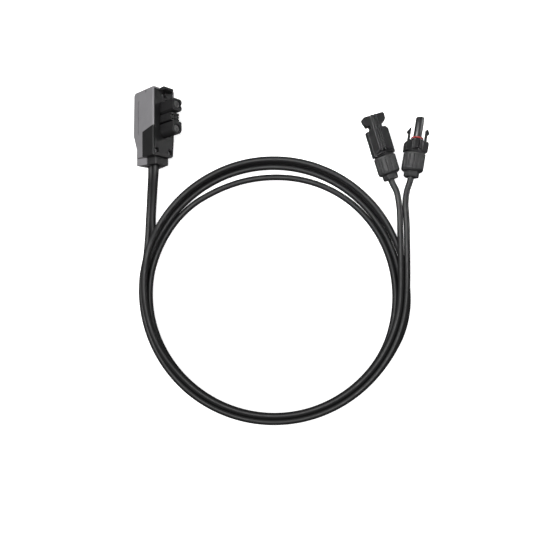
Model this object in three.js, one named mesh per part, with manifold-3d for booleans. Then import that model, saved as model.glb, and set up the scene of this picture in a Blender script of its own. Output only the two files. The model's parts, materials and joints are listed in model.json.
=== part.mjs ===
// DC connecting lead of a solar micro inverter: a battery plug in a two-part housing, two single-core
// solar cables wound in a coil of two and a half turns, and a pair of solar connectors.
// Millimetres, +Z up. The origin is on the table under the middle of the battery plug.
import * as THREE from "three";
import { mergeVertices } from "three/addons/utils/BufferGeometryUtils.js";
import Module from "manifold-3d";

// ---- Driving dimensions ----
const GAP = 0.3; // between neighbouring pieces

// Battery plug, in its own frame: x across the mating face, y along the housing, z out of the mating face.
const PLUG_ROLL = THREE.MathUtils.degToRad(48);
const FACE_CENTRE = [6.664, 2.65, 27.824];
const NEAR_X = -11.9;
const FAR_X = 11.1;
const FACE_FAR_X = 9.5; // the far side leans in towards the mating face
const TOP_Y = 29;
const BOTTOM_Y = -28.3;
const WALL = 1.3;
const BACK_TOP = -28.7;
const BACK_MID = -29.5;
const BACK_LOW = -24.6;
const SKIRT_Z = -15.4;
const SKIRT_HIGH_Y = -3.5;
const SKIRT_LOW_Y = -7.1;
const PLATE_THICK = 2.5;
const COLLAR_END_Y = -34.3;
const COLLAR_FRONT_Z = -4;
const COLLAR_SPLIT_Z = -14;
const COLLAR_BACK_Z = -26;
const COLLAR_FRONT_HALF = 6.4;
const COLLAR_BACK_HALF = 10;

// The blocks that rise from the mating face, from the bottom of the group to its top.
const BLOCK_HALF = 4.6;
const POLE_RISE = 17.3;
const SIGNAL_RISE = 14;
const UPPER_POLE_Y = [7, 17];
const SIGNAL_Y = [-0.5, 6.1];
const LOWER_POLE_Y = [-12.3, -1.5];
const UPPER_CONTACT_Y = 12.7;
const LOWER_CONTACT_Y = -7.5;
const CONTACT_R = 2.75;
const MOUTH_R = 3.25;
const MOUTH_DEPTH = 1.5;
const SIGNAL_PINS = [-2.4, 0, 2.4].flatMap((x) => [0.8, 3.8].map((y) => [x, y]));
const FLANGE_Z = [-4.3, -PLATE_THICK - GAP];

// Cables: each one leaves the plug behind the other, seen from the mating face.
const CABLE_R = 2.7;
const FRONT_CABLE_Z = -12.7;
const REAR_CABLE_Z = -19.5;
const LEAD_SIDES = 10;

// Latch lever at the top of the mating face.
const LATCH_HALF = 4.8;
const LATCH_NOSE = 5.7;
const LATCH_FLOOR_Y = 26.5;
const LATCH_PIN = { y: 26.8, z: -10.4 };

// Screws in the mating face, from the housing's centre line.
const SCREWS = { top: [-1, 23.7], left: [-7.8, -23.9], right: [5.5, -23.9] };
const SCREW_HEAD_R = 1.8;
const SCREW_RECESS_R = 2.25;
const SCREW_DEPTH = 4;
const SCREW_BOSS_R = 3;
const CLAMP_Y = -20.3;
const CLAMP_SCREWS_X = [-5.9, 5.9];

// Coil, lying on the table.
const COIL_CENTRE = [100.2, -140.4];
const COIL_OUTER = 120.6;
const COIL_SPLIT = 110;
const COIL_INNER = 99.5;
const COIL_HEIGHT = 18;

// Solar connectors, each in a frame of its own: nose at y 0, cable towards -y, flat sides up and down.
const CONNECTOR_AXIS_Z = 9.6;
const SHELL_NOSE = [187.1, 14.7];
const SHELL_TURN = THREE.MathUtils.degToRad(16.9);
const PROBE_NOSE = [230.3, 13.3];
const PROBE_TURN = THREE.MathUtils.degToRad(-9.15);
const NUT_R = 9.5;
const NUT_LENGTH = 17;
const NUT_BORE_R = 7.7;
const FLUTES = 14;
const HEX_R = 6.9;
const HEX_LENGTH = 4.7;
const SHELL_BODY_END = -36.7;
const PROBE_BODY_END = -31.4;
const NUT_SEAM = 0.6; // between a housing and its nut
const ARM_ROOT_Y = -22;

// ---- Materials ----
const GREY_PLASTIC = { color: 0x858488, roughness: 0.55, metalness: 0 };
const BLACK_PLASTIC = { color: 0x1f1f20, roughness: 0.5, metalness: 0 };
const CONNECTOR_PLASTIC = { color: 0x1c1c1d, roughness: 0.42, metalness: 0 };
const CABLE_JACKET = { color: 0x242425, roughness: 0.6, metalness: 0 };
const STEEL = { color: 0xa8a8aa, roughness: 0.3, metalness: 1 };
const DARK_STEEL = { color: 0x2c2c2e, roughness: 0.5, metalness: 1 };
const TINNED_COPPER = { color: 0xb9b4a6, roughness: 0.3, metalness: 1 };
const RED_RUBBER = { color: 0xb53328, roughness: 0.5, metalness: 0 };
const BLACK_RUBBER = { color: 0x161617, roughness: 0.8, metalness: 0 };
const BOARD_GREEN = { color: 0x1f4d34, roughness: 0.5, metalness: 0 };

// ---- Shape helpers ----
const wasm = await Module();
wasm.setup();

// A closed geometry as a solid, with its faces turned out.
function solid(geometry) {
  const bare = geometry.index ? geometry.toNonIndexed() : geometry.clone();
  bare.deleteAttribute("normal");
  bare.deleteAttribute("uv");
  const merged = mergeVertices(bare, 1e-4);
  const build = (triVerts) => new wasm.Manifold(new wasm.Mesh({
    numProp: 3,
    vertProperties: new Float32Array(merged.attributes.position.array),
    triVerts,
  }));
  const triangles = new Uint32Array(merged.index.array);
  const made = build(triangles);
  return made.volume() > 0 ? made : build(triangles.reverse());
}

function mesh(name, shape, look) {
  const made = shape.getMesh();
  const geometry = new THREE.BufferGeometry();
  geometry.setAttribute("position", new THREE.BufferAttribute(new Float32Array(made.vertProperties), 3));
  geometry.setIndex(new THREE.BufferAttribute(new Uint32Array(made.triVerts), 1));
  geometry.computeVertexNormals();
  const piece = new THREE.Mesh(geometry, new THREE.MeshStandardMaterial(look));
  piece.name = name;
  return piece;
}

function box([x0, x1], [y0, y1], [z0, z1]) {
  const geometry = new THREE.BoxGeometry(x1 - x0, y1 - y0, z1 - z0);
  return solid(geometry.translate((x0 + x1) / 2, (y0 + y1) / 2, (z0 + z1) / 2));
}

// A prism of an outline of [x, y] points, or of a ready THREE.Shape, from z0 to z1.
function prismZ(outline, [z0, z1], bevel = 0) {
  const shape = outline instanceof THREE.Shape
    ? outline
    : new THREE.Shape(outline.map(([x, y]) => new THREE.Vector2(x, y)));
  const geometry = new THREE.ExtrudeGeometry(shape, {
    depth: z1 - z0 - 2 * bevel,
    curveSegments: 6,
    bevelEnabled: bevel > 0,
    bevelSize: bevel,
    bevelOffset: -bevel,
    bevelThickness: bevel,
    bevelSegments: 2,
  });
  return solid(geometry.translate(0, 0, z0 + bevel));
}

// A prism of a side outline of [z, y] points, across the width from x0 to x1.
function prismX(outline, [x0, x1], bevel = 0) {
  const turned = outline.map(([z, y]) => [-z, y]);
  const upright = prismZ(turned, [x0, x1], bevel);
  return upright.rotate([0, 90, 0]);
}

// A prism of a plan of [x, z] points, along the length from y0 to y1.
function prismY(plan, [y0, y1]) {
  const turned = plan.map(([x, z]) => [x, -z]);
  return prismZ(turned, [y0, y1]).rotate([-90, 0, 0]);
}

function rod(radius, [start, end], axis, [a, b] = [0, 0], sides = 20) {
  const geometry = new THREE.CylinderGeometry(radius, radius, end - start, sides);
  const middle = (start + end) / 2;
  if (axis === "x") {
    return solid(geometry.rotateZ(-Math.PI / 2).translate(middle, a, b));
  }
  if (axis === "z") {
    return solid(geometry.rotateX(Math.PI / 2).translate(a, b, middle));
  }
  return solid(geometry.translate(a, middle, b));
}

// A turned solid about the y axis, from a closed profile of [radius, y] points.
function turned(profile, sides = 28) {
  const points = profile.map(([r, y]) => new THREE.Vector2(r, y));
  return solid(new THREE.LatheGeometry(points, sides));
}

function tube(points, radius, sides, steps) {
  const curve = new THREE.CatmullRomCurve3(points.map((p) => new THREE.Vector3(...p)), false, "centripetal");
  const section = new THREE.Shape();
  section.absarc(0, 0, radius, 0, 2 * Math.PI);
  return solid(new THREE.ExtrudeGeometry(section, {
    steps,
    curveSegments: sides / 2,
    extrudePath: curve,
  }));
}

function cut(shape, ...tools) {
  return tools.reduce((left, tool) => left.subtract(tool), shape);
}

function join(...shapes) {
  return shapes.reduce((whole, shape) => whole.add(shape));
}

// ---- Battery plug: outlines ----
function poleOutline([y0, y1], grow, style) {
  const w = BLOCK_HALF + grow;
  const low = y0 - grow;
  const high = y1 + grow;
  if (style === "round") {
    const shape = new THREE.Shape();
    shape.moveTo(-w, high - 1);
    shape.lineTo(-w, low + w);
    shape.absarc(0, low + w, w, Math.PI, 2 * Math.PI, false);
    shape.lineTo(w, high - 1);
    shape.lineTo(w - 1, high);
    shape.lineTo(1 - w, high);
    shape.closePath();
    return shape;
  }
  const c = style === "square" ? 1.4 : 0.6;
  return new THREE.Shape([
    [-w + c, low], [w - c, low], [w, low + c], [w, high - c],
    [w - c, high], [-w + c, high], [-w, high - c], [-w, low + c],
  ].map(([x, y]) => new THREE.Vector2(x, y)));
}

function collarPlan([z0, z1], grow = 0) {
  const half = (z) => {
    const part = (COLLAR_FRONT_Z - z) / (COLLAR_FRONT_Z - COLLAR_BACK_Z);
    return THREE.MathUtils.lerp(COLLAR_FRONT_HALF, COLLAR_BACK_HALF, part) + grow;
  };
  return [[-half(z0), z0], [half(z0), z0], [half(z1), z1], [-half(z1), z1]];
}

function skirtOutline(grow) {
  return [
    [4, SKIRT_HIGH_Y + grow + 0.93],
    [0, SKIRT_HIGH_Y + grow],
    [SKIRT_Z - grow, SKIRT_LOW_Y + grow],
    [SKIRT_Z - grow, BOTTOM_Y - 4],
    [4, BOTTOM_Y - 4],
  ];
}

// The space inside the far side's lean and the rounded bottom corner below the lower pole.
function farSideLimit() {
  const plan = [[-20, 10], [FACE_FAR_X, 10], [FACE_FAR_X, 0], [FAR_X, BACK_MID], [-20, BACK_MID]];
  const corner = new THREE.Shape();
  corner.moveTo(-20, BOTTOM_Y);
  corner.lineTo(FACE_FAR_X - 3.2, BOTTOM_Y);
  corner.quadraticCurveTo(FACE_FAR_X - 1, BOTTOM_Y, FACE_FAR_X - 0.9, BOTTOM_Y + 2.6);
  corner.lineTo(FACE_FAR_X, LOWER_POLE_Y[0]);
  corner.lineTo(20, LOWER_POLE_Y[1]);
  corner.lineTo(20, 40);
  corner.lineTo(-20, 40);
  corner.closePath();
  return prismY(plan, [-40, 40]).intersect(prismZ(corner, [-40, 10]));
}

// A wedge that takes the corner between a near side at x and a front face at z down to a chamfer.
function nearCorner(x, z, width) {
  return prismY([[x - 1, z - width - 1], [x - 1, z + 1], [x + width + 1, z + 1]], [-60, 60]);
}

function housingBlock(nearChamfer) {
  const side = [
    [6, TOP_Y], [BACK_TOP + 2, TOP_Y], [BACK_TOP, TOP_Y - 2], [BACK_MID, -8],
    [BACK_LOW, -21], [BACK_LOW, BOTTOM_Y], [6, BOTTOM_Y],
  ];
  const block = prismX(side, [NEAR_X, FAR_X], 0.9);
  const front = box([-20, 20], [-60, 60], [0, 20]);
  return cut(block, front, nearCorner(NEAR_X, 0, nearChamfer)).intersect(farSideLimit());
}

function housingHollow() {
  const top = TOP_Y - WALL;
  const bottom = BOTTOM_Y + 1.6;
  const side = [
    [6, top], [BACK_TOP + WALL + 1.4, top], [BACK_TOP + WALL, top - 1.4],
    [BACK_MID + WALL, -8], [BACK_LOW + WALL, -20.6], [BACK_LOW + WALL, bottom], [6, bottom],
  ];
  return prismX(side, [NEAR_X + WALL, FACE_FAR_X - WALL]);
}

// The way of the two cables and their grommet out of the collar.
function grommetOutline(grow) {
  const r = CABLE_R + 1.1 + grow;
  const shape = new THREE.Shape();
  shape.absarc(0, -FRONT_CABLE_Z, r, Math.PI, 2 * Math.PI, false);
  shape.absarc(0, -REAR_CABLE_Z, r, 0, Math.PI, false);
  shape.closePath();
  return shape;
}

function grommetBlock(grow, ys) {
  return prismZ(grommetOutline(grow), ys).rotate([-90, 0, 0]);
}

// ---- Battery plug: pieces ----
const HOUSING_BOTTOM = [-60, BOTTOM_Y + 3];
const COLLAR_YS = [COLLAR_END_Y, BOTTOM_Y + 1.8];

// Supports inside the grey shell, for the screws, the cable clamp and the latch's spring.
function rearSupports() {
  const topBoss = rod(2.4, [-12, -5.2], "z", SCREWS.top);
  const topRib = box([-11, SCREWS.top[0]], [21.6, 23.6], [-12, -9.5]);
  const lowBosses = [SCREWS.left, SCREWS.right].map((place) => rod(1.5, [BACK_LOW + 0.5, -5.2], "z", place));
  const clampPosts = CLAMP_SCREWS_X.map((x) => rod(1.9, [BACK_LOW + 0.5, -9.4], "z", [x, CLAMP_Y]));
  const springLedge = box([-11, 9], [20.4, 21.6], [-18, -13]);
  return join(topBoss, topRib, ...lowBosses, ...clampPosts, springLedge);
}

function rearShell() {
  const walls = housingBlock(1.1).subtract(housingHollow()).subtract(prismX(skirtOutline(GAP), [-20, 20]));
  const collar = prismY(collarPlan([COLLAR_SPLIT_Z - GAP / 2, COLLAR_BACK_Z], 0.5), COLLAR_YS);
  const skirtFloor = box([-20, 20], [BOTTOM_Y - GAP, 0], [SKIRT_Z - GAP, 0]);
  return cut(
    join(walls, rearSupports(), cut(collar, skirtFloor)),
    box([-LATCH_HALF - GAP, LATCH_HALF + GAP], [24.8, 40], [-17.8, 6]),
    rod(0.95, [-15, 15], "x", [LATCH_PIN.y, LATCH_PIN.z], 14),
    ...Object.values(SCREWS).map((place) => rod(0.95, [-10, 0], "z", place, 12)),
    ...CLAMP_SCREWS_X.map((x) => rod(0.95, [-16, -5], "z", [x, CLAMP_Y], 10)),
    grommetBlock(GAP, HOUSING_BOTTOM),
    ...sideGrooves(),
  );
}

// Shallow grooves down both sides of the grey shell.
function sideGrooves() {
  const depth = 0.8;
  const groove = [[-20.4, 21.5], [-22.4, 19], [-22.4, -6.5], [-20.4, -9]];
  const farFace = THREE.MathUtils.lerp(FACE_FAR_X, FAR_X, 20.4 / -BACK_MID);
  return [prismX(groove, [NEAR_X - 1, NEAR_X + depth]), prismX(groove, [farFace - depth, FAR_X + 1])];
}

function frontShell() {
  const inside = [NEAR_X + WALL + GAP, FACE_FAR_X - WALL - GAP];
  const plate = box(inside, [BOTTOM_Y + 0.5, TOP_Y - WALL - GAP], [-PLATE_THICK, 0]);
  const skirt = housingBlock(0.5).intersect(prismX(skirtOutline(0), [-20, 20])).subtract(housingHollow());
  const collar = prismY(collarPlan([COLLAR_FRONT_Z, COLLAR_SPLIT_Z + GAP / 2]), COLLAR_YS)
    .subtract(nearCorner(-COLLAR_FRONT_HALF, COLLAR_FRONT_Z, 0.6));
  const bossZ = [-SCREW_DEPTH - 1, -0.4];
  const bosses = Object.values(SCREWS).map((place) => rod(SCREW_BOSS_R, bossZ, "z", place));
  const insideOnly = box(inside, [BOTTOM_Y + 0.5, TOP_Y - WALL - GAP], [-6, 1]);
  const blockWays = [
    prismZ(poleOutline(UPPER_POLE_Y, GAP, "square"), [-8, 4]),
    prismZ(poleOutline(SIGNAL_Y, GAP, "signal"), [-8, 4]),
    prismZ(poleOutline(LOWER_POLE_Y, GAP, "round"), [-8, 4]),
    box([-BLOCK_HALF - GAP, BLOCK_HALF + GAP], [LOWER_POLE_Y[1] - 2, UPPER_POLE_Y[0] + 2], [-8, 4]),
  ];
  const recesses = Object.values(SCREWS).flatMap((place) => [
    rod(SCREW_RECESS_R, [-SCREW_DEPTH, 1], "z", place, 24),
    rod(0.95, [-6, 1], "z", place, 12),
  ]);
  const latchWay = box([-LATCH_HALF - GAP, LATCH_HALF + GAP], [LATCH_FLOOR_Y, 40], [-6, 6]);
  const body = join(plate, skirt, collar, join(...bosses).intersect(insideOnly));
  return cut(body, ...blockWays, ...recesses, latchWay, grommetBlock(GAP, HOUSING_BOTTOM));
}

function flange([y0, y1], inset) {
  return box([-BLOCK_HALF - 1.2, BLOCK_HALF + 1.2], [y0 + inset, y1 - inset], FLANGE_Z);
}

function pole(ys, style, contactY) {
  const body = prismZ(poleOutline(ys, 0, style), [FLANGE_Z[0], POLE_RISE]);
  const bore = rod(CONTACT_R + GAP, [-20, 30], "z", [0, contactY], 28);
  const mouth = rod(MOUTH_R, [POLE_RISE - MOUTH_DEPTH, 30], "z", [0, contactY], 28);
  return cut(join(body, flange(ys, 1)), bore, mouth);
}

function upperPole() {
  const middle = (UPPER_POLE_Y[0] + UPPER_POLE_Y[1]) / 2;
  const edge = BLOCK_HALF + 1;
  const keyGroove = prismZ([[edge, middle - 3], [edge, middle + 3], [BLOCK_HALF - 1.1, middle]], [1, 30]);
  return pole(UPPER_POLE_Y, "square", UPPER_CONTACT_Y).subtract(keyGroove);
}

function lowerPole() {
  return pole(LOWER_POLE_Y, "round", LOWER_CONTACT_Y);
}

function signalBlock() {
  const body = prismZ(poleOutline(SIGNAL_Y, 0, "signal"), [FLANGE_Z[0], SIGNAL_RISE]);
  const bores = SIGNAL_PINS.map((place) => rod(0.75, [-20, 30], "z", place, 10));
  const grooves = [1.75, 3.85].map((y) => rod(0.8, [2, 30], "z", [BLOCK_HALF, y], 10));
  return cut(join(body, flange(SIGNAL_Y, 0.6)), ...bores, ...grooves);
}

// A stud in a pole, a little below the pole's end, with a crimp barrel for its cable at the back.
function powerContact(y, cableZ, barrelEnd) {
  const stud = rod(CONTACT_R, [-5, POLE_RISE - MOUTH_DEPTH + 0.4], "z", [0, y], 28);
  const stem = rod(2.7, [cableZ - 1, -4.7], "z", [0, y]);
  const barrel = rod(2.6, [barrelEnd, y + 2.7], "y", [0, cableZ]);
  const centreMark = rod(0.5, [POLE_RISE - MOUTH_DEPTH, POLE_RISE], "z", [0, y], 10);
  return join(stud, stem, barrel).subtract(centreMark);
}

function idBoard() {
  const board = box([-4, 4], [SIGNAL_Y[0] - 0.2, SIGNAL_Y[1] + 0.2], [-8.2, -7]);
  const pins = SIGNAL_PINS.map((place) => rod(0.42, [-7.5, SIGNAL_RISE - 4], "z", place, 8));
  return join(board, ...pins);
}

function housingScrew(place) {
  const top = -SCREW_DEPTH + 1;
  const head = rod(SCREW_HEAD_R, [-SCREW_DEPTH + GAP, top], "z", place, 20);
  const shaft = rod(0.65, [-8.5, -SCREW_DEPTH + GAP + 0.2], "z", place, 10);
  const recess = rod(0.65, [top - 0.5, top + 1], "z", place, 6);
  return join(head, shaft).subtract(recess);
}

function housingGasket() {
  const [near, far] = [NEAR_X + WALL + GAP + 0.2, FACE_FAR_X - WALL - GAP - 0.2];
  const width = 1.1;
  const z = [-PLATE_THICK - GAP - 0.9, -PLATE_THICK - GAP];
  const hole = box([near + width, far - width], [-19.4, 18.9], [-10, 0]);
  return box([near, far], [-20.5, 20], z).subtract(hole);
}

function cableClamp() {
  const bar = box([-7.9, 7.9], [CLAMP_Y - 2, CLAMP_Y + 2], [-9, -6.6]);
  const saddle = rod(CABLE_R + GAP, [-40, 0], "y", [0, FRONT_CABLE_Z]);
  const holes = CLAMP_SCREWS_X.map((x) => rod(0.95, [-20, 0], "z", [x, CLAMP_Y], 10));
  return cut(bar, saddle, ...holes);
}

function clampScrew(x) {
  const head = rod(1.6, [-6.3, -5.2], "z", [x, CLAMP_Y], 14);
  const shaft = rod(0.65, [-14, -6], "z", [x, CLAMP_Y], 10);
  return join(head, shaft).subtract(rod(0.6, [-5.7, 0], "z", [x, CLAMP_Y], 6));
}

function cableGrommet() {
  const sleeve = grommetBlock(0, [COLLAR_END_Y, BOTTOM_Y + 2.6]);
  const bores = [FRONT_CABLE_Z, REAR_CABLE_Z].map((z) => rod(CABLE_R + GAP, [-60, 0], "y", [0, z]));
  return cut(sleeve, ...bores);
}

function latchLever() {
  const floor = LATCH_FLOOR_Y + 0.4;
  const side = [
    [LATCH_NOSE - 0.7, TOP_Y + 0.3], [LATCH_NOSE, TOP_Y - 0.4], [LATCH_NOSE, floor + 0.3],
    [LATCH_NOSE - 0.9, floor - 0.4], [0.6, floor - 0.7], [0.6, floor], [-8.2, floor], [-9.4, 25.2],
    [-11.4, 25.2], [-12.6, 26.2], [-17.2, 26.2],
    [-17.2, TOP_Y - 0.3], [-8, TOP_Y - 0.3], [-6, TOP_Y - 0.9], [-1, TOP_Y - 0.9],
    [0.4, TOP_Y],
  ];
  const lever = prismX(side, [-LATCH_HALF, LATCH_HALF]);
  const pinHole = rod(0.95, [-12, 12], "x", [LATCH_PIN.y, LATCH_PIN.z], 14);
  return cut(lever, pinHole, nearCorner(-LATCH_HALF, LATCH_NOSE, 1.1));
}

function latchPin() {
  return rod(0.65, [NEAR_X + 1, FACE_FAR_X - 0.5], "x", [LATCH_PIN.y, LATCH_PIN.z], 12);
}

function latchSpring() {
  const turns = 4;
  const points = [];
  for (let i = 0; i <= turns * 10; i += 1) {
    const a = (i / 10) * 2 * Math.PI;
    points.push([1.2 * Math.cos(a), 22 + (3 * i) / (turns * 10), -15.2 + 1.2 * Math.sin(a)]);
  }
  return tube(points, 0.22, 6, turns * 10);
}

function batteryPlug() {
  const plug = new THREE.Group();
  plug.add(
    mesh("rear_shell", rearShell(), GREY_PLASTIC),
    mesh("front_shell", frontShell(), BLACK_PLASTIC),
    mesh("upper_pole", upperPole(), BLACK_PLASTIC),
    mesh("lower_pole", lowerPole(), BLACK_PLASTIC),
    mesh("signal_block", signalBlock(), BLACK_PLASTIC),
    mesh("upper_power_contact", powerContact(UPPER_CONTACT_Y, REAR_CABLE_Z, 2), TINNED_COPPER),
    mesh("lower_power_contact", powerContact(LOWER_CONTACT_Y, FRONT_CABLE_Z, -17), TINNED_COPPER),
    mesh("id_board", idBoard(), BOARD_GREEN),
    mesh("housing_gasket", housingGasket(), BLACK_RUBBER),
    mesh("cable_clamp", cableClamp(), BLACK_PLASTIC),
    mesh("cable_grommet", cableGrommet(), BLACK_RUBBER),
    mesh("latch_lever", latchLever(), BLACK_PLASTIC),
    mesh("latch_pin", latchPin(), DARK_STEEL),
    mesh("latch_spring", latchSpring(), STEEL),
  );
  for (const [side, place] of Object.entries(SCREWS)) {
    plug.add(mesh(`housing_screw_${side}`, housingScrew(place), STEEL));
  }
  for (const [index, side] of ["left", "right"].entries()) {
    plug.add(mesh(`clamp_screw_${side}`, clampScrew(CLAMP_SCREWS_X[index]), STEEL));
  }
  plug.rotation.y = PLUG_ROLL;
  plug.position.set(...FACE_CENTRE);
  return plug;
}

// ---- Solar connectors ----
function glandNut(start) {
  const end = start - NUT_LENGTH;
  const body = turned([
    [NUT_BORE_R, start], [NUT_R - 0.6, start], [NUT_R, start - 0.8], [NUT_R, end + 3], [NUT_R - 2, end],
    [CABLE_R + 0.6, end], [CABLE_R + 0.6, end + 2.5], [CABLE_R + 2.1, end + 2.5], [NUT_BORE_R, end + 6],
    [NUT_BORE_R, start],
  ], 2 * FLUTES);
  const flutes = [];
  for (let i = 0; i < FLUTES; i += 1) {
    const a = (2 * Math.PI * (i + 0.5)) / FLUTES;
    const place = [(NUT_R + 0.25) * Math.cos(a), (NUT_R + 0.25) * Math.sin(a)];
    flutes.push(rod(0.7, [end + 3, start - 2.2], "y", place, 6));
  }
  const hex = rod(HEX_R, [end - HEX_LENGTH, end + 1], "y", [0, 0], 6);
  const hexBore = rod(CABLE_R + 0.6, [end - 10, end + 2], "y", [0, 0], 28);
  return join(cut(body, ...flutes), cut(hex, hexBore));
}

// Slotted sleeve that the nut squeezes on the seal.
function clampCage(start) {
  const end = start - 10.5;
  const sleeve = turned([
    [5, start], [7.2, start], [7.2, end + 3.6], [5.4, end + 0.6], [4.5, end + 0.6], [5, end + 3], [5, start],
  ], 24);
  const slot = box([-9, 9], [end - 1, start - 2.5], [-0.5, 0.5]);
  const slots = [0, 60, 120].map((angle) => slot.rotate([0, angle, 0]));
  return cut(sleeve, ...slots);
}

function glandSeal(start) {
  const bore = CABLE_R + GAP;
  return turned([
    [bore, start], [4.6, start], [4.6, start - 6.8], [4.2, start - 8], [bore, start - 8], [bore, start],
  ], 20);
}

// Metal contact: a hollow tip towards the nose and a crimp barrel towards the cable.
function connectorContact(tip, end, radius) {
  const stem = join(rod(radius, [end + 6, tip], "y"), rod(2.3, [end, end + 7], "y"));
  return stem.subtract(rod(radius - 0.7, [tip - 8, tip + 5], "y", [0, 0], 16));
}

// The plan of half of the shell housing, from its nose down, to be mirrored.
const SHELL_PLAN = [
  [8.3, 0], [9.4, -1], [9.6, -6.3], [8.6, -8.2], [6.2, -9.2], [5.4, -10.2], [5.4, -11], [7.6, -12],
  [9.3, -15], [9.3, SHELL_BODY_END],
];

function mirrored(half) {
  return [...half, ...half.map(([x, y]) => [-x, y]).reverse()];
}

// The threaded neck of a housing, which its nut covers, and the hollow for the cable in it.
function housingNeck(bodyEnd) {
  return turned([[0, bodyEnd + 5], [7.3, bodyEnd + 5], [7.3, bodyEnd - 3.4], [0, bodyEnd - 3.4]], 28);
}

function cableHollow(bodyEnd) {
  return rod(5.2, [-60, bodyEnd - 0.9], "y", [0, 0], 20);
}

function shellHousing() {
  const wings = prismZ(mirrored(SHELL_PLAN), [-4.6, 4.6], 0.7);
  const barrel = rod(6.6, [SHELL_BODY_END, 0], "y", [0, 0], 28);
  const rearRing = rod(9, [SHELL_BODY_END, SHELL_BODY_END + 3.5], "y", [0, 0], 28);
  return cut(
    join(wings, barrel, rearRing, housingNeck(SHELL_BODY_END)),
    rod(4.3, [-21, 5], "y", [0, 0], 24),
    rod(2.7, [-60, 0], "y", [0, 0], 20),
    cableHollow(SHELL_BODY_END),
  );
}

function probeHousing() {
  const tip = turned([
    [0, 0], [3.3, 0], [3.65, -0.6], [3.65, -18.2], [3.4, -18.4], [3.4, -19.6], [5, -19.9], [5, -23], [0, -23],
  ], 24);
  const plan = [[9.1, ARM_ROOT_Y], [9.7, ARM_ROOT_Y - 0.8], [9.4, PROBE_BODY_END]];
  const wings = prismZ(mirrored(plan), [-5.6, 5.6], 0.6);
  const barrel = rod(8, [PROBE_BODY_END, ARM_ROOT_Y - 0.4], "y", [0, 0], 28);
  const slot = (zs) => box([-1, 1], [PROBE_BODY_END - 1, ARM_ROOT_Y + 1], zs);
  const armWay = (xs) => box(xs, [ARM_ROOT_Y - 3.5, ARM_ROOT_Y + 1], [-3.1, 3.1]);
  const body = join(wings, barrel, housingNeck(PROBE_BODY_END));
  return cut(
    join(tip, cut(body, slot([6.2, 9]), slot([-9, -6.2]), armWay([6.4, 8.6]), armWay([-8.6, -6.4]))),
    rod(2.4, [-60, 5], "y", [0, 0], 20),
    rod(2.7, [-60, -20], "y", [0, 0], 20),
    cableHollow(PROBE_BODY_END),
  );
}

function oRing() {
  const points = [];
  for (let i = 0; i <= 10; i += 1) {
    const a = (2 * Math.PI * i) / 10;
    points.push([4.75 + 0.72 * Math.cos(a), -18.85 + 0.72 * Math.sin(a)]);
  }
  return turned(points, 28);
}

// A springy arm with a barb on its outer side, for the side at x = side * 7.5.
function snapArm(side) {
  const plan = [
    [6.8, ARM_ROOT_Y - 3.1], [8.2, ARM_ROOT_Y - 3.1], [8.2, -15], [9.5, -14.2], [9.3, -13],
    [7.4, -10.2], [6.8, -10.4],
  ].map(([x, y]) => [side * x, y]);
  return prismZ(side > 0 ? plan : plan.reverse(), [-2.7, 2.7]);
}

function solarConnector(kind, nose, turn, pieces) {
  const connector = new THREE.Group();
  for (const [name, shape, look] of pieces) {
    connector.add(mesh(`${kind}_${name}`, shape, look));
  }
  connector.rotation.z = turn;
  connector.position.set(...nose, CONNECTOR_AXIS_Z);
  return connector;
}

function glandPieces(bodyEnd) {
  return [
    ["gland_seal", glandSeal(bodyEnd - 3.7), BLACK_RUBBER],
    ["clamp_cage", clampCage(bodyEnd - 3.7), BLACK_PLASTIC],
    ["gland_nut", glandNut(bodyEnd - NUT_SEAM), CONNECTOR_PLASTIC],
  ];
}

function shellConnector() {
  return solarConnector("shell", SHELL_NOSE, SHELL_TURN, [
    ["housing", shellHousing(), CONNECTOR_PLASTIC],
    ["contact", connectorContact(-7, SHELL_BODY_END, 2), TINNED_COPPER],
    ...glandPieces(SHELL_BODY_END),
  ]);
}

function probeConnector() {
  return solarConnector("probe", PROBE_NOSE, PROBE_TURN, [
    ["housing", probeHousing(), CONNECTOR_PLASTIC],
    ["contact", connectorContact(-1, PROBE_BODY_END, 2), TINNED_COPPER],
    ["o_ring", oRing(), RED_RUBBER],
    ["latch_arm_left", snapArm(-1), CONNECTOR_PLASTIC],
    ["latch_arm_right", snapArm(1), CONNECTOR_PLASTIC],
    ...glandPieces(PROBE_BODY_END),
  ]);
}

// ---- Cables ----
// Routes outside the coil, in the part's frame: from the plug's contacts down to the coil, and from the coil
// up to the solar connectors.
const REAR_LEAD = [
  [-7.83, 4, 14.77], [-7.83, -10, 14.77], [-7.83, -22, 14.77], [-7.83, -32.6, 14.77], [-8.6, -40, 12.4],
  [-10.3, -51, 8.5], [-11.9, -64, 5], [-13.3, -77, 3.2], [-14.2, -89, 2.75], [-14.7, -94.6, 2.75],
];
const FRONT_LEAD = [
  [-2.78, -15, 19.32], [-2.78, -20, 19.32], [-2.78, -26, 19.32], [-2.78, -32.6, 19.32], [-3.6, -41, 17],
  [-5.2, -51.5, 13], [-6.8, -63, 9.1], [-7.9, -74, 6.2], [-8.1, -78.5, 5.3],
];
const SHELL_TAIL = [
  [211.3, -84.2, 13], [211.2, -74, 12.5], [210.6, -63.5, 11.6], [208.9, -52.5, 10.2],
];
const PROBE_TAIL = [
  [217.2, -97, 13.3], [217.1, -84, 13], [216.7, -73, 12.4], [216.4, -63.5, 11.5], [218.2, -52, 10],
];

// The stretch of a cable inside a solar connector, along its axis, from one depth behind the nose to another.
function insideConnector(nose, turn, depths) {
  return depths.map((depth) => [
    nose[0] + depth * Math.sin(turn),
    nose[1] - depth * Math.cos(turn),
    CONNECTOR_AXIS_Z,
  ]);
}

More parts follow.
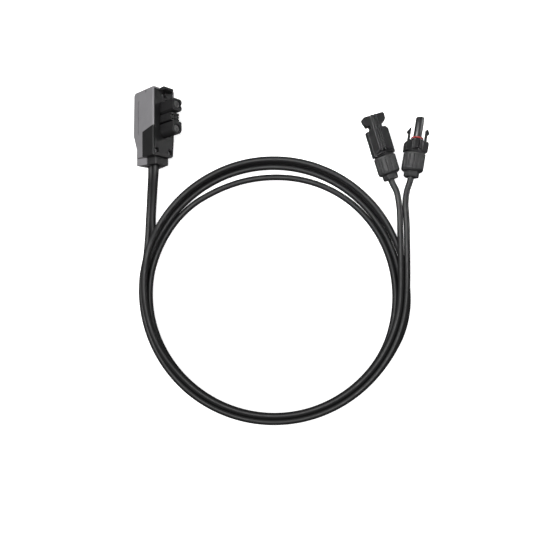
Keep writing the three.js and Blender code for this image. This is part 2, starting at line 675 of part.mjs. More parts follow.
// One half of the wound coil, inner or outer, as the plain ring that the cable's turns fill.
function coilRing(inner, outer) {
  const soft = 2;
  const ring = turned([
    [inner, soft], [inner + soft, 0.05], [outer - soft, 0.05], [outer, soft],
    [outer, COIL_HEIGHT - soft], [outer - soft, COIL_HEIGHT], [inner + soft, COIL_HEIGHT],
    [inner, COIL_HEIGHT - soft], [inner, soft],
  ], 64);
  return ring.rotate([90, 0, 0]).translate([...COIL_CENTRE, 0]);
}

function cables() {
  const lines = new THREE.Group();
  const shellEnd = insideConnector(SHELL_NOSE, SHELL_TURN, [61.5, 56, 50, 44, -SHELL_BODY_END + GAP]);
  const probeEnd = insideConnector(PROBE_NOSE, PROBE_TURN, [56, 50, 44, 38, -PROBE_BODY_END + GAP]);
  lines.add(
    mesh("positive_cable_lead", tube(FRONT_LEAD, CABLE_R, LEAD_SIDES, 14), CABLE_JACKET),
    mesh("negative_cable_lead", tube(REAR_LEAD, CABLE_R, LEAD_SIDES, 16), CABLE_JACKET),
    mesh("positive_cable_coil", coilRing(COIL_INNER, COIL_SPLIT - GAP / 2), CABLE_JACKET),
    mesh("negative_cable_coil", coilRing(COIL_SPLIT + GAP / 2, COIL_OUTER), CABLE_JACKET),
    mesh("positive_cable_tail", tube([...SHELL_TAIL, ...shellEnd], CABLE_R, LEAD_SIDES, 16), CABLE_JACKET),
    mesh("negative_cable_tail", tube([...PROBE_TAIL, ...probeEnd], CABLE_R, LEAD_SIDES, 18), CABLE_JACKET),
  );
  return lines;
}

const part = new THREE.Group();
part.add(batteryPlug(), shellConnector(), probeConnector(), cables());

export default part;
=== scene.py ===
"""The looks of a micro inverter's battery connecting lead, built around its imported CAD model."""

import json
import math

import bmesh
import bpy
from mathutils import Matrix, Vector


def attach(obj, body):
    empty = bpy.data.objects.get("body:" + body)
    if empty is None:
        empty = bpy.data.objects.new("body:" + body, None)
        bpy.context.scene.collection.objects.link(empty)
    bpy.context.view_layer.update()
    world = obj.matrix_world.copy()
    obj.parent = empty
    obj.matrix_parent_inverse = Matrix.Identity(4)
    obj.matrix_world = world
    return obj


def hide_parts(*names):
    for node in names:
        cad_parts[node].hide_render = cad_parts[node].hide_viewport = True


MM = 0.001

# ---- Camera ----
CAMERA_PLACE = (0.09326, -0.11915, 0.428)
SENSOR_WIDTH = 36.0
LENS = 31.745

# ---- Cables ----
CABLE_DIAMETER = 5.4 * MM
COIL_CENTRE = (100.16, -140.45)
COIL_STEP = 10  # degrees between two points of a coil
ROUTE_STEP = 2.5  # millimetres between two points of a finished route

# The stretches outside the coil, in metres.
NEGATIVE_LEAD = [
    (-0.00783, -0.010, 0.01477), (-0.00783, -0.020, 0.01477), (-0.0079, -0.028, 0.01475),
    (-0.0082, -0.0345, 0.0143), (-0.0089, -0.0415, 0.0123), (-0.0104, -0.051, 0.0085),
    (-0.0119, -0.064, 0.005), (-0.0131, -0.077, 0.0032), (-0.0138, -0.089, 0.00275),
    (-0.0142, -0.0946, 0.00275),
]
POSITIVE_LEAD = [
    (-0.00278, -0.015, 0.01932), (-0.0028, -0.0205, 0.01932), (-0.0029, -0.028, 0.0193),
    (-0.0032, -0.0345, 0.0188), (-0.0041, -0.0415, 0.0168), (-0.0057, -0.0515, 0.013),
    (-0.0074, -0.063, 0.0093), (-0.0086, -0.074, 0.0068), (-0.0089, -0.0818, 0.0053),
    (-0.0088, -0.090, 0.0039),
]
POSITIVE_TAIL = [
    (0.2113, -0.0842, 0.013), (0.2112, -0.074, 0.0125), (0.2106, -0.0635, 0.0116), (0.2089, -0.0525, 0.0102),
]
NEGATIVE_TAIL = [
    (0.2172, -0.097, 0.0133), (0.2171, -0.084, 0.013), (0.2167, -0.073, 0.0124), (0.2164, -0.0635, 0.0115),
    (0.2182, -0.052, 0.010),
]
# The last points of each cable, on its connector's axis: millimetres behind the connector's nose.
NEGATIVE_END = [56, 50, 44, 38, 31.7]
POSITIVE_END = [61.5, 56, 50, 44, 37]
# Where each cable lies in the coil: degrees round it from +X, distance from its middle and height, in mm.
NEGATIVE_TURNS = [
    (165, 119.8, 2.7), (172, 119.9, 2.7), (180, 119.4, 2.7), (270, 119.3, 2.7), (315, 119, 2.7),
    (330, 118.4, 2.7), (345, 116.6, 2.7), (360, 114.8, 2.7), (382, 112.6, 2.7), (405, 111.4, 2.7),
    (450, 111.3, 2.7),
    (478, 111.9, 2.7), (492, 112.5, 2.7), (510, 113.5, 4.4), (522, 114.3, 8.1), (540, 116.5, 8.1),
    (560, 117.4, 8.1), (630, 117.6, 8.1), (685, 118.5, 8.1), (700, 120.4, 7.2), (710, 121.2, 4.6),
    (720, 120.5, 2.8), (742, 118.2, 2.7), (765, 116.8, 2.7), (810, 116.4, 2.7), (840, 116.9, 4.2),
    (855, 116.8, 5.8), (870, 116.7, 8.9), (882, 116.7, 12.9), (900, 116.8, 13.5), (945, 116.6, 13.5),
    (990, 115.9, 13.5), (1035, 116.2, 13.5), (1080, 117, 13.5),
]
POSITIVE_TURNS = [
    (165, 114.5, 2.7), (180, 114, 2.7), (270, 114, 2.7), (315, 113.5, 2.7), (330, 113, 2.7),
    (345, 111.2, 2.7), (360, 109.4, 2.7), (405, 105.5, 2.7), (450, 102, 2.7), (476, 103.1, 2.7),
    (488, 105.2, 2.7), (497, 107.2, 2.7), (515, 109.3, 3.4), (526, 110, 6.4), (535, 110.8, 8),
    (540, 111.1, 8.1), (560, 112, 8.1), (630, 112.2, 8.1), (690, 112.9, 8.1), (705, 115.2, 8.1),
    (720, 117.5, 8.1), (742, 117.1, 8.1), (810, 117.1, 8.1), (825, 117.1, 8.6), (840, 117, 9.6),
    (855, 116.9, 11.3), (870, 116.6, 14.1), (882, 115.4, 18.1), (900, 113.5, 18), (920, 112.6, 16.8),
    (945, 111.3, 13.8), (990, 110.5, 13.5), (1035, 110.7, 13.5), (1080, 111.5, 13.5),
]

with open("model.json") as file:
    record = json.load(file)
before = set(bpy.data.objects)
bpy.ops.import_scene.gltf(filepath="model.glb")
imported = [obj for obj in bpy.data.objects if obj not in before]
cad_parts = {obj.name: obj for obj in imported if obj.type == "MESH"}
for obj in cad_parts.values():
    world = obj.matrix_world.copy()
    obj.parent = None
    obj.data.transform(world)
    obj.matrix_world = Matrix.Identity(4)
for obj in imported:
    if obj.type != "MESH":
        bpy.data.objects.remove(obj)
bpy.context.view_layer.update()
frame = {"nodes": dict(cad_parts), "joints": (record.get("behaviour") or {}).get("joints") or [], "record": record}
joints = {joint["name"]: joint for joint in frame["joints"]}


# ---- Places taken from the frame ----
SHELL_JOINT_DEPTH = 45 * MM  # from a connector's nose to the place of its nut's joint
PROBE_JOINT_DEPTH = 40 * MM


def connector_matrix(joint_name, nose_to_joint):
    """A solar connector's own frame: its nose at the origin, its cable towards -Y, in metres."""
    joint = joints[joint_name]
    forward = Vector(joint["axis"]).normalized()
    nose = Vector(joint["pos_m"]) + forward * nose_to_joint
    up = Vector((0, 0, 1))
    side = forward.cross(up)
    rotation = Matrix((side, forward, up)).transposed().to_4x4()
    return Matrix.Translation(nose) @ rotation


SHELL_FRAME = connector_matrix("shell_nut_turn", SHELL_JOINT_DEPTH)
PROBE_FRAME = connector_matrix("probe_nut_turn", PROBE_JOINT_DEPTH)


# ---- Camera, light and floor ----
def add_camera():
    data = bpy.data.cameras.new("camera")
    data.sensor_width = SENSOR_WIDTH
    data.lens = LENS
    data.clip_start = 0.01
    camera = bpy.data.objects.new("camera", data)
    camera.location = CAMERA_PLACE
    bpy.context.scene.collection.objects.link(camera)
    bpy.context.scene.camera = camera


def add_area_light(name, place, target, size, power, spread=180):
    data = bpy.data.lights.new(name, "AREA")
    data.shape = "RECTANGLE"
    data.size, data.size_y = size
    data.energy = power
    data.spread = math.radians(spread)
    light = bpy.data.objects.new(name, data)
    light.location = place
    direction = Vector(target) - Vector(place)
    light.rotation_euler = direction.to_track_quat("-Z", "Y").to_euler()
    bpy.context.scene.collection.objects.link(light)


def add_lights():
    middle = (0.1, -0.12, 0)
    add_area_light("overhead", (0.04, -0.09, 0.6), middle, (0.24, 0.24), 2.4)
    add_area_light("left", (-0.42, 0.08, 0.5), (0, 0, 0.02), (0.3, 0.3), 1.8)
    add_area_light("plug_right", (0.5, 0.1, 0.3), (0, 0.01, 0.03), (0.15, 0.15), 0.006, spread=25)
    add_area_light("connector_right", (0.62, 0.1, 0.2), (0.22, 0, 0.01), (0.15, 0.15), 0.04, spread=25)
    add_area_light("connector_left", (-0.06, 0.06, 0.28), (0.21, -0.01, 0.01), (0.12, 0.12), 0.055, spread=25)
    world = bpy.data.worlds.new("studio")
    world.use_nodes = True
    background = world.node_tree.nodes["Background"]
    background.inputs["Color"].default_value = (1, 1, 1, 1)
    background.inputs["Strength"].default_value = 0.12
    bpy.context.scene.world = world
    bpy.context.scene.view_settings.view_transform = "Standard"


FLOOR_HALF = 3.0
FLOOR_DROP = 0.2 * MM  # keeps the floor's surface clear of what rests on it


def add_floor():
    mesh = bpy.data.meshes.new("floor")
    half = FLOOR_HALF
    corners = [(-half, -half, 0), (half, -half, 0), (half, half, 0), (-half, half, 0)]
    mesh.from_pydata(corners, [], [(0, 1, 2, 3)])
    floor = bpy.data.objects.new("floor", mesh)
    floor.location = (0, 0, -FLOOR_DROP)
    bpy.context.scene.collection.objects.link(floor)
    material = bpy.data.materials.new("floor")
    material.use_nodes = True
    shader = material.node_tree.nodes["Principled BSDF"]
    shader.inputs["Base Color"].default_value = (0.86, 0.86, 0.86, 1)
    shader.inputs["Roughness"].default_value = 0.9
    shader.inputs["Emission Color"].default_value = (1, 1, 1, 1)
    shader.inputs["Emission Strength"].default_value = 0.8
    mesh.materials.append(material)
    floor.visible_glossy = False
    floor.visible_diffuse = False


# ---- Routes ----
def hermite(t, a, b, slope_a, slope_b):
    """A point between a and b on the cubic with these end slopes."""
    t2, t3 = t * t, t * t * t
    return (
        a * (2 * t3 - 3 * t2 + 1) + slope_a * (t3 - 2 * t2 + t)
        + b * (3 * t2 - 2 * t3) + slope_b * (t3 - t2)
    )


def key_slope(keys, i):
    before, after = keys[max(i - 1, 0)], keys[min(i + 1, len(keys) - 1)]
    return (after[1] - before[1]) / (after[0] - before[0])


def lay_at(keys, degrees):
    """Distance and height of a cable in the coil, between its keys."""
    i = max(j for j in range(len(keys) - 1) if keys[j][0] <= degrees)
    start, end = keys[i], keys[i + 1]
    span = end[0] - start[0]
    t = (degrees - start[0]) / span
    distance = hermite(t, start[1], end[1], key_slope(keys, i) * span, key_slope(keys, i + 1) * span)
    height = start[2] + (end[2] - start[2]) * t * t * (3 - 2 * t)
    return distance, height


def coil_points(keys):
    points = []
    steps = round((keys[-1][0] - keys[0][0]) / COIL_STEP)
    for i in range(steps + 1):
        degrees = keys[0][0] + (keys[-1][0] - keys[0][0]) * i / steps
        distance, height = lay_at(keys, degrees)
        turn = math.radians(degrees)
        x = COIL_CENTRE[0] + distance * math.cos(turn)
        y = COIL_CENTRE[1] + distance * math.sin(turn)
        points.append((x * MM, y * MM, height * MM))
    return points


def axis_points(place, depths):
    """Points on a solar connector's axis, at these depths behind its nose, in mm."""
    return [place @ Vector((0, -depth * MM, 0)) for depth in depths]


def smooth_route(points):
    """The centripetal Catmull-Rom curve through the points."""
    knots = [Vector(p) for p in points]
    knots = [2 * knots[0] - knots[1]] + knots + [2 * knots[-1] - knots[-2]]
    route = [knots[1]]
    for i in range(1, len(knots) - 2):
        p0, p1, p2, p3 = knots[i - 1 : i + 3]
        d0, d1, d2 = ((b - a).length ** 0.5 for a, b in ((p0, p1), (p1, p2), (p2, p3)))
        slope_1 = (p2 - p1) + d1 * ((p1 - p0) / d0 - (p2 - p0) / (d0 + d1))
        slope_2 = (p2 - p1) + d1 * ((p3 - p2) / d2 - (p3 - p1) / (d1 + d2))
        count = max(1, round((p2 - p1).length / (ROUTE_STEP * MM)))
        for k in range(1, count + 1):
            route.append(hermite(k / count, p1, p2, slope_1, slope_2))
    return route


def add_cable(name, route, material):
    data = bpy.data.curves.new(name, "CURVE")
    data.dimensions = "3D"
    data.bevel_depth = CABLE_DIAMETER / 2
    data.bevel_resolution = 6
    data.use_fill_caps = True
    spline = data.splines.new("POLY")
    spline.points.add(len(route) - 1)
    for point, place in zip(spline.points, route):
        point.co = (*place, 1)
    spline.use_smooth = True
    data.materials.append(material)
    cable = bpy.data.objects.new(name, data)
    bpy.context.scene.collection.objects.link(cable)
    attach(cable, "connecting_lead")
    return cable


# ---- Materials ----
def new_material(name, color, roughness, metallic=0.0):
    material = bpy.data.materials.new(name)
    material.use_nodes = True
    shader = material.node_tree.nodes["Principled BSDF"]
    shader.inputs["Base Color"].default_value = (*color, 1)
    shader.inputs["Roughness"].default_value = roughness
    shader.inputs["Metallic"].default_value = metallic
    return material, shader


def add_node(material, kind, **inputs):
    node = material.node_tree.nodes.new(kind)
    for name, value in inputs.items():
        node.inputs[name.replace("_", " ")].default_value = value
    return node


def object_place(material):
    return add_node(material, "ShaderNodeTexCoord").outputs["Object"]


def noise(material, scale, detail=3.0, roughness=0.55):
    node = add_node(material, "ShaderNodeTexNoise", Scale=scale, Detail=detail, Roughness=roughness)
    material.node_tree.links.new(object_place(material), node.inputs["Vector"])
    return node.outputs["Fac"]


def mapped(material, source, low, high):
    node = add_node(material, "ShaderNodeMapRange", From_Min=0.3, From_Max=0.7, To_Min=low, To_Max=high)
    material.node_tree.links.new(source, node.inputs["Value"])
    return node.outputs["Result"]


def vary_colour(material, shader, color, scale, amount):
    """Mixes a slightly darker and a slightly lighter tone of the colour in soft patches."""
    mix = add_node(material, "ShaderNodeMix")
    mix.data_type = "RGBA"
    mix.inputs[6].default_value = (*[c * (1 - amount) for c in color], 1)
    mix.inputs[7].default_value = (*[c * (1 + amount) for c in color], 1)
    links = material.node_tree.links
    links.new(mapped(material, noise(material, scale), 0, 1), mix.inputs["Factor"])
    links.new(mix.outputs[2], shader.inputs["Base Color"])


def vary_roughness(material, shader, low, high, scale):
    material.node_tree.links.new(
        mapped(material, noise(material, scale, 5.0), low, high), shader.inputs["Roughness"]
    )


def grain(material, shader, scale, depth, strength):
    bump = add_node(material, "ShaderNodeBump", Strength=strength, Distance=depth)
    links = material.node_tree.links
    links.new(noise(material, scale, 2.0, 0.6), bump.inputs["Height"])
    links.new(bump.outputs["Normal"], shader.inputs["Normal"])


def moulded_plastic(name, color, roughness, grain_strength):
    material, shader = new_material(name, color, roughness)
    vary_colour(material, shader, color, 90, 0.06)
    vary_roughness(material, shader, roughness - 0.06, roughness + 0.08, 220)
    grain(material, shader, 2600, 0.00006, grain_strength)
    return material


def jacket_material():
    color = (0.0095, 0.0095, 0.01)
    material, shader = new_material("cable_jacket_look", color, 0.5)
    vary_colour(material, shader, color, 60, 0.12)
    vary_roughness(material, shader, 0.42, 0.56, 150)
    grain(material, shader, 1500, 0.00005, 0.25)
    return material


def rubber(name, color):
    material, shader = new_material(name, color, 0.6)
    vary_roughness(material, shader, 0.5, 0.7, 300)
    grain(material, shader, 1800, 0.00005, 0.3)
    return material


def bright_metal(name, color, roughness):
    material, shader = new_material(name, color, roughness, metallic=1.0)
    vary_roughness(material, shader, roughness * 0.8, roughness * 1.3, 500)
    grain(material, shader, 1500, 0.00002, 0.3)
    return material


def all_materials():
    return {
        "grey_housing": moulded_plastic("grey_housing_look", (0.235, 0.23, 0.24), 0.5, 0.5),
        "black_housing": moulded_plastic("black_housing_look", (0.011, 0.011, 0.0115), 0.42, 0.35),
        "connector_black": moulded_plastic("connector_black_look", (0.0075, 0.0075, 0.008), 0.38, 0.1),
        "gland_nut": moulded_plastic("gland_nut_look", (0.0155, 0.0155, 0.016), 0.62, 0.12),
        "cable_jacket": jacket_material(),
        "black_rubber": rubber("black_rubber_look", (0.012, 0.012, 0.012)),
        "red_rubber": rubber("red_rubber_look", (0.27, 0.016, 0.012)),
        "steel": bright_metal("steel_look", (0.3, 0.3, 0.31), 0.4),
        "dark_steel": bright_metal("dark_steel_look", (0.03, 0.03, 0.031), 0.5),
        "tinned_copper": bright_metal("tinned_copper_look", (0.16, 0.16, 0.16), 0.5),
        "board_green": moulded_plastic("board_green_look", (0.02, 0.12, 0.05), 0.35, 0.1),
    }


# ---- Mesh building, in a solar connector's own frame, in millimetres ----
def polar_loft(bm, rings, sides):
    """A closed tube-like surface about the Y axis: each ring is (y, radius at an angle)."""
    loops = []
    for y, radius_at in rings:
        loop = []
        for k in range(sides):
            angle = 2 * math.pi * k / sides
            radius = radius_at(angle)
            loop.append(bm.verts.new((radius * math.cos(angle), y, radius * math.sin(angle))))
        loops.append(loop)
    for loop, following in zip(loops, loops[1:] + loops[:1]):
        for k in range(sides):
            after = (k + 1) % sides
            bm.faces.new((loop[k], loop[after], following[after], following[k]))


def revolve(bm, profile, sides=96):
    """A closed surface of revolution about the Y axis, from a profile of (radius, y) off the axis."""
    polar_loft(bm, [(y, lambda angle, r=r: r) for r, y in profile], sides)


def cylinder(bm, radius, low, high):
    core = 0.001
    revolve(bm, [(core, low), (radius, low), (radius, high), (core, high)])


def rounded_outline(corners, steps=6):
    """A closed outline of (x, y, corner radius), with an arc at each corner."""
    points = []
    count = len(corners)
    for i, (x, y, radius) in enumerate(corners):
        corner = Vector((x, y))
        before = (Vector(corners[i - 1][:2]) - corner).normalized()
        after = (Vector(corners[(i + 1) % count][:2]) - corner).normalized()
        half_angle = before.angle(after) / 2
        if radius == 0 or half_angle > math.radians(88):
            points.append(corner)
            continue
        reach = radius / math.tan(half_angle)
        centre = corner + (before + after).normalized() * (radius / math.sin(half_angle))
        start = corner + before * reach - centre
        sweep = start.angle_signed(corner + after * reach - centre)
        for k in range(steps + 1):
            spoke = start.copy()
            spoke.rotate(Matrix.Rotation(-sweep * k / steps, 2))
            points.append(centre + spoke)
    return points


def close_between(bm, first, second):
    """A closed solid between two matching rings of places."""
    bottom = [bm.verts.new(place) for place in first]
    top = [bm.verts.new(place) for place in second]
    bm.faces.new(bottom[::-1])
    bm.faces.new(top)
    count = len(bottom)
    for k in range(count):
        after = (k + 1) % count
        bm.faces.new((bottom[k], bottom[after], top[after], top[k]))


def prism(bm, outline, low, high):
    """A prism of an outline of 2-D points, from z low to z high."""
    close_between(bm, [(p[0], p[1], low) for p in outline], [(p[0], p[1], high) for p in outline])


def beam(bm, section, low, high):
    """A beam along Y with a section of (x, z) points, from y low to y high."""
    close_between(bm, [(x, low, z) for x, z in section], [(x, high, z) for x, z in section])


def block(bm, xs, ys, zs):
    outline = [(xs[0], ys[0]), (xs[1], ys[0]), (xs[1], ys[1]), (xs[0], ys[1])]
    prism(bm, outline, *zs)


def new_object(name, bm):
    bmesh.ops.recalc_face_normals(bm, faces=bm.faces)
    mesh = bpy.data.meshes.new(name)
    bm.to_mesh(mesh)
    bm.free()
    piece = bpy.data.objects.new(name, mesh)
    bpy.context.scene.collection.objects.link(piece)
    return piece


def apply_modifiers(piece):
    """Replaces the piece's mesh with what its modifiers make of it."""
    bpy.context.view_layer.update()
    made = bpy.data.meshes.new_from_object(piece.evaluated_get(bpy.context.evaluated_depsgraph_get()))
    old = piece.data
    piece.modifiers.clear()
    piece.data = made
    bpy.data.meshes.remove(old)


def cut_away(piece, bm):
    """Cuts the solids in bm out of the piece."""
    cutter = new_object("cutter", bm)
    boolean = piece.modifiers.new("cut", "BOOLEAN")
    boolean.operation = "DIFFERENCE"
    boolean.solver = "EXACT"
    boolean.use_self = True
    boolean.object = cutter
    apply_modifiers(piece)
    bpy.data.objects.remove(cutter)


def melt_together(piece):
    """Joins the piece's overlapping solids into one moulded skin with soft edges."""
    remesh = piece.modifiers.new("remesh", "REMESH")
    remesh.mode = "VOXEL"
    remesh.voxel_size = VOXEL
    smooth = piece.modifiers.new("smooth", "SMOOTH")
    smooth.factor = 0.5
    smooth.iterations = SMOOTHING
    decimate = piece.modifiers.new("decimate", "DECIMATE")
    decimate.ratio = KEPT_SHARE
    apply_modifiers(piece)


def finish_piece(piece, place, body, slot, *nodes, look=None):
    """Puts a piece built in millimetres in its place, gives it its body and finish, and hides the CAD nodes it
    stands in for.
    """
    piece.data.transform(place @ Matrix.Scale(MM, 4))
    for polygon in piece.data.polygons:
        polygon.use_smooth = True
    piece.data.materials.clear()
    piece.data.materials.append(looks[look or slot])
    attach(piece, body)
    if nodes:
        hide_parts(*nodes)
    return piece


# ---- Solar connectors ----
VOXEL = 0.24
SMOOTHING = 4
KEPT_SHARE = 0.6
SHELL_REAR = -36.7
PROBE_REAR = -31.4
PROBE_FRONT = -22
SHELL_NUT_FRONT = -37.3
PROBE_NUT_FRONT = -32
FLUTES = 14
NUT_R = 9.5
FLUTE_DEPTH = 0.55
FLUTE_HALF_ANGLE = math.radians(5.2)
HEX_R = 6.9
CABLE_HOLE_R = 3.3
SLIM_SIDES = 72  # of the slimmer round pieces
O_RING_Y = -18.85
O_RING_R = 4.65


def plain(radius):
    return lambda angle: radius


def fluted(radius, depth):
    """A round section with evenly spaced soft grooves."""

    def radius_at(angle):
        step = 2 * math.pi / FLUTES
        off = abs((angle + step / 2) % step - step / 2)
        if off > FLUTE_HALF_ANGLE:
            return radius
        return radius - depth * 0.5 * (1 + math.cos(math.pi * off / FLUTE_HALF_ANGLE))

    return radius_at


def hexagonal(radius):
    """A hexagon with slightly rounded corners, its corners at this radius."""

    def radius_at(angle):
        step = math.pi / 3
        off = (angle + step / 2) % step - step / 2
        flat = radius * math.cos(step / 2) / math.cos(step / 2 - abs(off))
        return min(flat, radius * 0.975)

    return radius_at


# The gland nut's profile from its open front, as (y, radius). The shoulder has the flutes' share of
# their depth as a third value.
NUT_RIM = [(0, 8.3), (-1.1, 9.35), (-1.5, NUT_R), (-2.2, NUT_R)]
NUT_SHOULDER = [
    (-14.4, 9.5, 1), (-14.9, 9.44, 0.85), (-15.4, 9.27, 0.6), (-15.9, 8.97, 0.35),
    (-16.35, 8.55, 0.12), (-16.7, 8.0, 0), (-16.93, 7.4, 0), (-17, 7.0, 0),
]
NUT_HEX_END = [
    (-17.02, HEX_R - 0.15), (-17.3, HEX_R), (-21.2, HEX_R), (-21.5, HEX_R - 0.15),
    (-21.7, HEX_R - 0.5),
]
NUT_BORE = [
    (-21.7, CABLE_HOLE_R + 0.5), (-21.55, CABLE_HOLE_R + 0.15), (-21.2, CABLE_HOLE_R),
    (-14.5, CABLE_HOLE_R), (-14.4, 4.8), (-11, 7.7), (-0.3, 7.7), (0, 7.9),
]
FLUTE_START = -2.4
FLUTE_END = -15.2
FLUTE_EASE = 1.2  # the length over which the flutes reach their full depth
EASE_STEPS = 5
FLUTE_STEPS = 8
SIDES_PER_FLUTE = 20


def flute_sections():
    """The nut's sections along its flutes, which start shallow and reach their full depth."""
    sections = []
    for k in range(EASE_STEPS + 1):
        share = math.sin(math.pi / 2 * k / EASE_STEPS)
        y = FLUTE_START - FLUTE_EASE * k / EASE_STEPS
        sections.append((y, fluted(NUT_R, FLUTE_DEPTH * share)))
    for k in range(1, FLUTE_STEPS + 1):
        y = FLUTE_START - FLUTE_EASE + (FLUTE_END + 2 * FLUTE_EASE - FLUTE_START) * k / FLUTE_STEPS
        sections.append((y, fluted(NUT_R, FLUTE_DEPTH)))
    return sections


def gland_nut(name, place, body, start, node):
    """The fluted nut with its hexagonal end, from its open front at y start."""
    outer = [(y, plain(radius)) for y, radius in NUT_RIM]
    outer += flute_sections()
    outer += [(y, fluted(radius, FLUTE_DEPTH * share)) for y, radius, share in NUT_SHOULDER]
    outer += [(y, hexagonal(radius)) for y, radius in NUT_HEX_END]
    outer += [(y, plain(radius)) for y, radius in NUT_BORE]
    bm = bmesh.new()
    polar_loft(bm, [(start + y, section) for y, section in outer], FLUTES * SIDES_PER_FLUTE)
    return finish_piece(new_object(name, bm), place, body, "connector_black", node, look="gland_nut")


def rear_arch(cuts, rear, side, sag):
    """An arched bite out of the rear of a body, as wide as the body, above or below its middle."""
    half_width, neck, steps = 9.4, 5.6, 24
    radius = (half_width**2 + sag**2) / (2 * sag)
    sweep = math.asin(half_width / radius)
    outline = [(half_width, rear - 2), (-half_width, rear - 2)]
    for k in range(steps + 1):
        angle = sweep * (2 * k / steps - 1)
        outline.append((radius * math.sin(angle), rear + sag - radius * (1 - math.cos(angle))))
    prism(cuts, outline, *sorted((side * neck, side * 12)))


def ridge(bm, side, half_width, top, low, high):
    """A raised bar with sloping flanks along the middle of a body's upper or lower face."""
    flank, flank_foot = 1.5, 4.2
    shoulder = half_width - flank
    section = [
        (-half_width, 0), (half_width, 0), (half_width, flank_foot), (shoulder, top),
        (-shoulder, top), (-half_width, flank_foot),
    ]
    beam(bm, [(x, side * z) for x, z in section], low, high)


def winged_outline(half):
    """The closed outline of a body from the corners of its right half, from its nose to its rear."""
    return rounded_outline(half + [(-x, y, radius) for x, y, radius in reversed(half)])


def gland_neck(bm, rear):
    """The tube between a body and its nut, round the cable."""
    revolve(bm, [(4.6, rear - 3.4), (5.6, rear - 3.4), (5.6, rear + 3), (4.6, rear + 3)])


def shell_body():
    """The socket shell: winged body with two lock notches, a ridge along its middle and a round rear."""
    rear = SHELL_REAR
    upper = [
        (8.9, 0, 0.8), (9.65, -1.2, 1.2), (9.65, -5.9, 1.2), (7.6, -8.2, 0.5), (4.9, -8.4, 0.6),
        (4.9, -12.2, 0.6), (7.4, -12.5, 0.9), (9.35, -15, 1.4), (9.35, rear, 0.3),
    ]
    lower = [
        (9.5, 0, 0.4), (9.65, -2.6, 1.0), (8, -8.2, 0.8), (4.9, -8.4, 0.6), (4.9, -12.2, 0.6),
        (9.35, -12.4, 0.6), (9.35, rear, 0.3),
    ]
    bm = bmesh.new()
    prism(bm, winged_outline(upper), -0.2, 4.6)
    prism(bm, winged_outline(lower), -4.6, 0)
    cylinder(bm, 4.9, rear, 0)
    hump = [(0.01, rear), (9.1, rear), (9.1, -35.2), (8.6, -34.4), (4.4, -30.2), (0.01, -30.2)]
    revolve(bm, hump)
    for side in (-1, 1):
        ridge(bm, side, 3, 6.5, -34, 0)
    piece = new_object("shell_body", bm)
    cuts = bmesh.new()
    cylinder(cuts, 4.0, -21, 2)
    cylinder(cuts, 2.7, rear - 6, -20)
    cylinder(cuts, 4.6, rear - 6, rear + 6)
    for side in (-1, 1):
        block(cuts, (-0.8, 0.9), (rear + 1, 1), sorted((side * 4.5, side * 12)))
        rear_arch(cuts, rear, side, 1.6)
    cut_away(piece, cuts)
    neck = bmesh.new()
    gland_neck(neck, rear)
    join_pieces(piece, new_object("shell_neck", neck))
    melt_together(piece)
    return finish_piece(piece, SHELL_FRAME, "connecting_lead", "connector_black", "shell_housing")


def probe_body():
    """The probe's body: collar and winged body with a slot along its middle and arm pockets."""
    rear, front = PROBE_REAR, PROBE_FRONT
    half = [(8.9, front, 0.8), (9.7, front - 2, 1.2), (9.45, rear, 0.4)]
    bm = bmesh.new()
    prism(bm, winged_outline(half), -5.6, 5.6)
    cylinder(bm, 5.0, front - 1, -19.9)
    for side in (-1, 1):
        ridge(bm, side, 5.2, 7.4, rear, front + 0.6)
    piece = new_object("probe_body", bm)
    cuts = bmesh.new()
    cylinder(cuts, 2.7, rear - 6, -20)
    cylinder(cuts, 4.6, rear - 6, rear + 5)
    cylinder(cuts, 3.2, -26, 0)
    for side in (-1, 1):
        block(cuts, (-0.4, 1.5), (rear - 1, -19.5), sorted((side * 4.1, side * 12)))
        rear_arch(cuts, rear, side, 2.4)
        block(cuts, sorted((side * 6.4, side * 8.6)), (front - 3.5, front + 1), (-3.1, 3.1))
    cut_away(piece, cuts)
    neck = bmesh.new()
    gland_neck(neck, rear)
    join_pieces(piece, new_object("probe_neck", neck))
    melt_together(piece)
    return piece


def probe_tip():
    """The slim round probe, with a rounded nose, an O-ring groove and a hollow for the contact."""
    bm = bmesh.new()
    profile = [
        (2.4, 0), (3.1, 0), (3.4, -0.12), (3.58, -0.4), (3.65, -0.8), (3.65, -18), (3.6, -18.15),
        (3.4, -18.2), (3.4, -19.6), (3.42, -19.8), (3.4, -25), (2.4, -25), (2.4, -0.2),
    ]
    revolve(bm, profile, SLIM_SIDES)
    return new_object("probe_tip", bm)


def join_pieces(first, *others):
    """Moves the other pieces' geometry into the first piece."""
    bm = bmesh.new()
    for piece in (first, *others):
        bm.from_mesh(piece.data)
    bm.to_mesh(first.data)
    bm.free()
    for piece in others:
        bpy.data.objects.remove(piece)
    return first


def o_ring():
    bm = bmesh.new()
    steps = 20
    profile = []
    for k in range(steps):
        angle = 2 * math.pi * k / steps
        profile.append((O_RING_R + 0.72 * math.cos(angle), O_RING_Y + 0.62 * math.sin(angle)))
    revolve(bm, profile, SLIM_SIDES)
    piece = new_object("o_ring", bm)
    return finish_piece(piece, PROBE_FRAME, "connecting_lead", "red_rubber", "probe_o_ring")


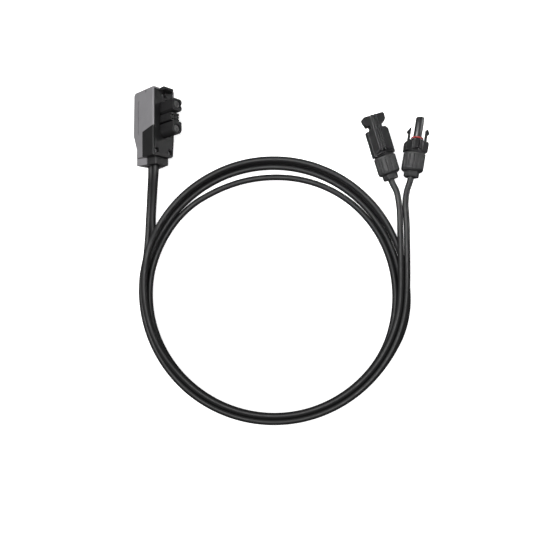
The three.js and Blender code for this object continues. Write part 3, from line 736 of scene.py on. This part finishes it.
def snap_arm(side, body, node):
    """A springy arm with a barb on its outer side."""
    corners = [
        (6.9, -25.1, 0.2), (8.1, -25.1, 0.2), (7.95, -15.4, 0.4), (9.4, -14.5, 0.4), (9.2, -13, 0.3),
        (7.5, -10.1, 0.3), (6.9, -10.3, 0.25), (7.05, -14, 0),
    ]
    bm = bmesh.new()
    prism(bm, [(side * p[0], p[1]) for p in rounded_outline(corners)], -2.7, 2.7)
    piece = new_object(node.replace("probe_latch_", "snap_"), bm)
    bevel = piece.modifiers.new("edges", "BEVEL")
    bevel.width = 0.22
    bevel.segments = 3
    bevel.limit_method = "ANGLE"
    bevel.angle_limit = math.radians(50)
    apply_modifiers(piece)
    return finish_piece(piece, PROBE_FRAME, body, "connector_black", node)


def solar_connectors():
    shell = [
        shell_body(),
        gland_nut("shell_nut", SHELL_FRAME, "shell_nut", SHELL_NUT_FRONT, "shell_gland_nut"),
    ]
    probe_skin = join_pieces(probe_body(), probe_tip())
    probe = [
        finish_piece(probe_skin, PROBE_FRAME, "connecting_lead", "connector_black", "probe_housing"),
        gland_nut("probe_nut", PROBE_FRAME, "probe_nut", PROBE_NUT_FRONT, "probe_gland_nut"),
        o_ring(),
        snap_arm(-1, "arm_left", "probe_latch_arm_left"),
        snap_arm(1, "arm_right", "probe_latch_arm_right"),
    ]
    return shell, probe


# ---- CAD nodes that are shown as they are ----
# Width of each piece's rounded edges, in millimetres.
EDGE_WIDTH = {
    "rear_shell": 0.3, "front_shell": 0.3, "upper_pole": 0.5, "lower_pole": 0.5, "signal_block": 0.4,
}
SMALL_EDGE = 0.12


def soften_edges(node, width):
    """Gives a CAD node moulded edges without touching its mesh."""
    weld = node.modifiers.new("weld", "WELD")
    weld.merge_threshold = 0.001 * MM
    flatten = node.modifiers.new("flatten", "DECIMATE")
    flatten.decimate_type = "DISSOLVE"
    flatten.angle_limit = math.radians(0.5)
    bevel = node.modifiers.new("edges", "BEVEL")
    bevel.width = width * MM
    bevel.segments = 3
    bevel.limit_method = "ANGLE"
    bevel.angle_limit = math.radians(40)
    bevel.harden_normals = True
    for polygon in node.data.polygons:
        polygon.use_smooth = True
    node.modifiers.new("normals", "WEIGHTED_NORMAL").keep_sharp = True


def dress_cad_nodes(looks):
    for entry in frame["record"]["subparts"]:
        node = frame["nodes"][entry["node"]]
        node.data.materials.clear()
        node.data.materials.append(looks[entry["material_slot"]])
        soften_edges(node, EDGE_WIDTH.get(node.name, SMALL_EDGE))


# ---- The scene ----
INNER_NODES = ("contact", "gland_seal", "clamp_cage")

add_camera()
add_lights()
add_floor()
looks = all_materials()

negative_route = smooth_route(
    NEGATIVE_LEAD + coil_points(NEGATIVE_TURNS) + NEGATIVE_TAIL
    + axis_points(PROBE_FRAME, NEGATIVE_END)
)
positive_route = smooth_route(
    POSITIVE_LEAD + coil_points(POSITIVE_TURNS) + POSITIVE_TAIL
    + axis_points(SHELL_FRAME, POSITIVE_END)
)
negative_cable = add_cable("negative_cable", negative_route, looks["cable_jacket"])
positive_cable = add_cable("positive_cable", positive_route, looks["cable_jacket"])
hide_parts("negative_cable_lead", "negative_cable_coil", "negative_cable_tail")
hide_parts("positive_cable_lead", "positive_cable_coil", "positive_cable_tail")
shell_pieces, probe_pieces = solar_connectors()
shell_pieces += [frame["nodes"][f"shell_{name}"] for name in INNER_NODES]
probe_pieces += [frame["nodes"][f"probe_{name}"] for name in INNER_NODES]
dress_cad_nodes(looks)

bpy.context.view_layer.update()
